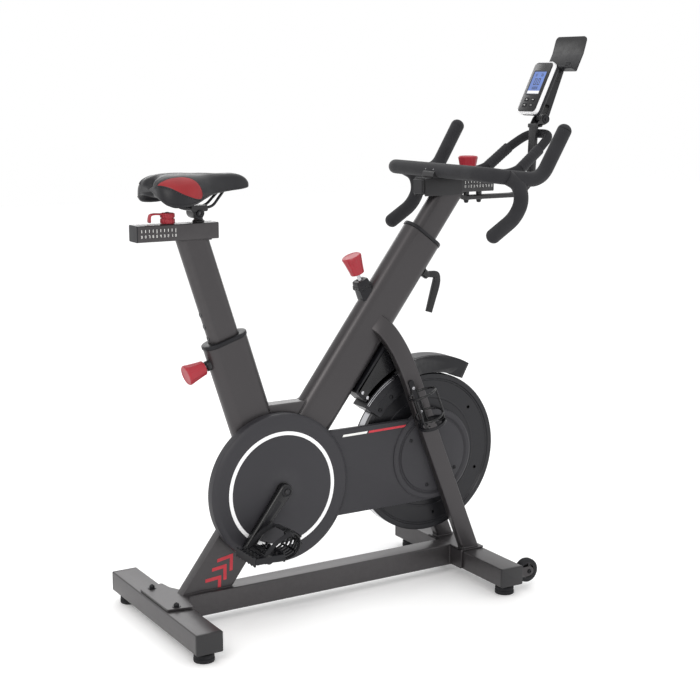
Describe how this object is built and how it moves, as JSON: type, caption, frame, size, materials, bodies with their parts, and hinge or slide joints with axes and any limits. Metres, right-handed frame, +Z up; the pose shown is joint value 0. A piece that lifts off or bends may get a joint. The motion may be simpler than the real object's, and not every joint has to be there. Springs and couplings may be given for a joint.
{
  "type": "indoor spin bike",
  "caption": "Indoor cycling trainer: welded oval-tube frame, belt drive to a braked flywheel, sliding saddle and handlebar, console with tablet rest, levelling feet and transport wheels.",
  "frame": {"origin": "on the floor, in the middle of the overall box", "axes": "+X forward towards the handlebar, +Y to the rider's left, +Z up"},
  "size_m": [1.3324, 0.53, 1.4906],
  "materials": {
    "frame_paint": "satin charcoal powder coat",
    "dark_paint": "satin black powder coat",
    "guard_plastic": "matt",
    "ring_white": "gloss",
    "black_plastic": "fine texture",
    "red_plastic": "semi-gloss",
    "white_plastic": "gloss",
    "screen": "backlit display",
    "rubber": "matt",
    "foam": "fine-grained foam",
    "iron": "satin black",
    "steel": "bright",
    "rail_steel": "gloss black",
    "alloy": "dull",
    "belt_rubber": "matt",
    "leather": "smooth imitation leather",
    "leather_red": "smooth imitation leather"
  },
  "bodies": {
    "frame": {"rear_stabilizer": "frame_paint", "front_stabilizer": "frame_paint", "base_rail": "frame_paint", "bottom_bracket_shell": "dark_paint", "head_tube": "frame_paint", "seat_tube": "frame_paint", "rear_leg": "frame_paint", "bridge_tube": "frame_paint", "fork_leg_right": "frame_paint", "fork_leg_left": "frame_paint", "seat_tube_collar": "black_plastic", "head_tube_collar": "black_plastic", "brake_housing": "black_plastic", "brake_shroud": "black_plastic", "flywheel_axle": "steel", "belt_guard": "guard_plastic", "belt": "belt_rubber", "bottle_cage": "black_plastic"},
    "levelling_foot_rear_right": {"levelling_foot_rear_right": "rubber"},
    "levelling_foot_rear_left": {"levelling_foot_rear_left": "rubber"},
    "levelling_foot_front_right": {"levelling_foot_front_right": "rubber"},
    "levelling_foot_front_left": {"levelling_foot_front_left": "rubber"},
    "transport_wheel_right": {"transport_wheel_right": "rubber"},
    "transport_wheel_left": {"transport_wheel_left": "rubber"},
    "seat_height_pin": {"seat_height_knob": "red_plastic"},
    "seat_post": {"seat_post": "frame_paint", "seat_housing": "frame_paint"},
    "seat_carriage": {"seat_carriage": "dark_paint"},
    "seat_lever": {"seat_slide_knob": "red_plastic"},
    "saddle": {"saddle_clamp": "dark_paint", "saddle_rails": "rail_steel", "saddle_base": "black_plastic", "saddle_pad": "leather"},
    "handlebar_post": {"handlebar_post": "frame_paint", "handlebar_slide_tube": "dark_paint", "console_support_arm": "dark_paint"},
    "handlebar": {"handlebar_bracket": "dark_paint", "handlebar": "foam", "handlebar_drop_right": "foam", "handlebar_drop_left": "foam", "aero_loop": "rubber"},
    "handlebar_knob": {"handlebar_knob": "red_plastic"},
    "console": {"console_stem": "black_plastic", "console": "white_plastic", "tablet_holder": "black_plastic"},
    "console_button_1": {"console_button_1": "black_plastic"},
    "console_button_2": {"console_button_2": "black_plastic"},
    "console_button_3": {"console_button_3": "black_plastic"},
    "console_button_4": {"console_button_4": "black_plastic"},
    "height_lever": {"height_lever": "black_plastic"},
    "brake_rod": {"brake_rod": "steel"},
    "brake_knob": {"brake_knob": "red_plastic"},
    "brake_carrier": {"brake_carrier": "alloy"},
    "flywheel": {"flywheel": "iron"},
    "crank": {"crank_axle": "steel", "drive_pulley": "black_plastic", "crank_right": "dark_paint", "crank_left": "dark_paint"},
    "pedal_right": {"pedal_right": "black_plastic"},
    "pedal_left": {"pedal_left": "black_plastic"}
  },
  "joints": [
    {"name": "levelling_foot_rear_right_screw", "type": "slide", "parent": "frame", "child": "levelling_foot_rear_right", "axis": [0, 0, 1], "range_m": [-0.01, 0.003]},
    {"name": "levelling_foot_rear_left_screw", "type": "slide", "parent": "frame", "child": "levelling_foot_rear_left", "axis": [0, 0, 1], "range_m": [-0.01, 0.003]},
    {"name": "levelling_foot_front_right_screw", "type": "slide", "parent": "frame", "child": "levelling_foot_front_right", "axis": [0, 0, 1], "range_m": [-0.01, 0.003]},
    {"name": "levelling_foot_front_left_screw", "type": "slide", "parent": "frame", "child": "levelling_foot_front_left", "axis": [0, 0, 1], "range_m": [-0.01, 0.003]},
    {"name": "transport_wheel_right_roll", "type": "hinge", "parent": "frame", "child": "transport_wheel_right", "pos_m": [0.36984, -0.222, 0.048], "axis": [0, 1, 0], "continuous": true},
    {"name": "transport_wheel_left_roll", "type": "hinge", "parent": "frame", "child": "transport_wheel_left", "pos_m": [0.36984, 0.222, 0.048], "axis": [0, 1, 0], "continuous": true},
    {"name": "seat_height_pin_pull", "type": "slide", "parent": "frame", "child": "seat_height_pin", "axis": [-0.9521, 0, -0.3057], "range_m": [0, 0.012], "stiffness_N_per_m": 1500, "springref_m": -0.002},
    {"name": "seat_height", "type": "slide", "parent": "frame", "child": "seat_post", "axis": [-0.3057, 0, 0.9521], "range_m": [-0.128, 0.064]},
    {"name": "seat_fore_aft", "type": "slide", "parent": "seat_post", "child": "seat_carriage", "axis": [1, 0, 0], "range_m": [-0.07, 0.014]},
    {"name": "seat_lever_turn", "type": "hinge", "parent": "seat_carriage", "child": "seat_lever", "pos_m": [-0.57616, 0, 1.05], "axis": [0, 0, 1], "range_deg": [-180, 180]},
    {"name": "saddle_tilt", "type": "hinge", "parent": "seat_carriage", "child": "saddle", "pos_m": [-0.50216, 0, 1.054], "axis": [0, 1, 0], "range_deg": [-8, 8]},
    {"name": "handlebar_height", "type": "slide", "parent": "frame", "child": "handlebar_post", "axis": [0.5962, 0, 0.8028], "range_m": [-0.06, 0.09]},
    {"name": "handlebar_fore_aft", "type": "slide", "parent": "handlebar_post", "child": "handlebar", "axis": [1, 0, 0], "range_m": [0, 0.055]},
    {"name": "handlebar_knob_turn", "type": "hinge", "parent": "handlebar_post", "child": "handlebar_knob", "pos_m": [0.31284, 0, 1.14], "axis": [0, 0, 1], "range_deg": [-360, 0]},
    {"name": "console_tilt", "type": "hinge", "parent": "handlebar_post", "child": "console", "pos_m": [0.56284, 0, 1.264], "axis": [0, 1, 0], "range_deg": [-12, 30]},
    {"name": "console_button_1_press", "type": "slide", "parent": "console", "child": "console_button_1", "axis": [0.8988, 0, -0.4384], "range_m": [0, 0.0015], "stiffness_N_per_m": 400, "springref_m": -0.001},
    {"name": "console_button_2_press", "type": "slide", "parent": "console", "child": "console_button_2", "axis": [0.8988, 0, -0.4384], "range_m": [0, 0.0015], "stiffness_N_per_m": 400, "springref_m": -0.001},
    {"name": "console_button_3_press", "type": "slide", "parent": "console", "child": "console_button_3", "axis": [0.8988, 0, -0.4384], "range_m": [0, 0.0015], "stiffness_N_per_m": 400, "springref_m": -0.001},
    {"name": "console_button_4_press", "type": "slide", "parent": "console", "child": "console_button_4", "axis": [0.8988, 0, -0.4384], "range_m": [0, 0.0015], "stiffness_N_per_m": 400, "springref_m": -0.001},
    {"name": "height_lever_turn", "type": "hinge", "parent": "frame", "child": "height_lever", "pos_m": [0.16537, 0, 0.8632], "axis": [0.8028, 0, -0.5962], "range_deg": [-120, 120]},
    {"name": "brake_press", "type": "slide", "parent": "frame", "child": "brake_rod", "axis": [-0.3865, 0, 0.9223], "range_m": [-0.005, 0], "stiffness_N_per_m": 3000, "springref_m": 0.004},
    {"name": "brake_knob_turn", "type": "hinge", "parent": "brake_rod", "child": "brake_knob", "pos_m": [-0.04811, 0, 0.89502], "axis": [-0.3865, 0, 0.9223], "range_deg": [0, 1080]},
    {"name": "brake_carrier_feed", "type": "slide", "parent": "frame", "child": "brake_carrier", "axis": [-0.3865, 0, 0.9223], "range_m": [-0.004, 0]},
    {"name": "flywheel_spin", "type": "hinge", "parent": "frame", "child": "flywheel", "pos_m": [0.17484, 0, 0.363], "axis": [0, 1, 0], "continuous": true},
    {"name": "crank_turn", "type": "hinge", "parent": "frame", "child": "crank", "pos_m": [-0.30016, 0, 0.337], "axis": [0, 1, 0], "continuous": true},
    {"name": "pedal_right_spin", "type": "hinge", "parent": "crank", "child": "pedal_right", "pos_m": [-0.40714, -0.143, 0.20489], "axis": [0, 1, 0], "continuous": true},
    {"name": "pedal_left_spin", "type": "hinge", "parent": "crank", "child": "pedal_left", "pos_m": [-0.19318, 0.143, 0.46911], "axis": [0, 1, 0], "continuous": true}
  ],
  "couplings": [
    {"joint": "crank_turn", "follows": "flywheel_spin", "ratio": 0.3079},
    {"joint": "brake_knob_turn", "follows": "brake_carrier_feed", "rad_per_m": -4712}
  ]
}
